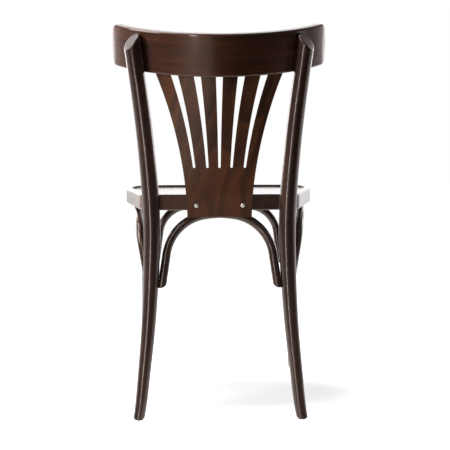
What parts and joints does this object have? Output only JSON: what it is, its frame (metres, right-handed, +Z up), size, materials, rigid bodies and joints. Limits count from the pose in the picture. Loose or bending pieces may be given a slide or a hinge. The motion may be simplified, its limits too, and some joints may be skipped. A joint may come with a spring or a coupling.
{
  "type": "chair",
  "caption": "Bentwood bistro chair with splayed round legs, arched braces under the seat, a fan of slats and a curved crest rail.",
  "frame": {"origin": "on the floor, at the centre of the bounding box", "axes": "+Z up, the sitter faces -Y, the sitter's left hand is at +X"},
  "size_m": [0.441, 0.5154, 0.8102],
  "materials": {
    "bent_beech": "dark walnut stain under gloss lacquer",
    "seat_plywood": "dark walnut stain under gloss lacquer",
    "splat_plywood": "dark walnut stain under gloss lacquer",
    "bright_screw": "bright nickel",
    "zinc_steel": "zinc plated",
    "raw_beech": "unfinished",
    "glide_plastic": "moulded"
  },
  "bodies": {
    "root": {"seat_ring": "bent_beech", "seat_panel": "seat_plywood", "crest_rail": "bent_beech", "back_splat": "splat_plywood", "rear_leg_left": "bent_beech", "rear_leg_right": "bent_beech", "front_leg_left": "bent_beech", "front_leg_right": "bent_beech", "rear_arch": "bent_beech", "front_arch": "bent_beech", "side_arch_left": "bent_beech", "side_arch_right": "bent_beech", "splat_screws": "bright_screw", "ring_bolts": "zinc_steel", "ring_bolt_washers": "zinc_steel", "leg_insert_nuts": "zinc_steel", "rail_dowels": "raw_beech", "arch_end_screws": "zinc_steel", "arch_crown_screws": "zinc_steel", "glide_front_left": "glide_plastic", "glide_front_right": "glide_plastic", "glide_rear_left": "glide_plastic", "glide_rear_right": "glide_plastic"}
  },
  "joints": []
}
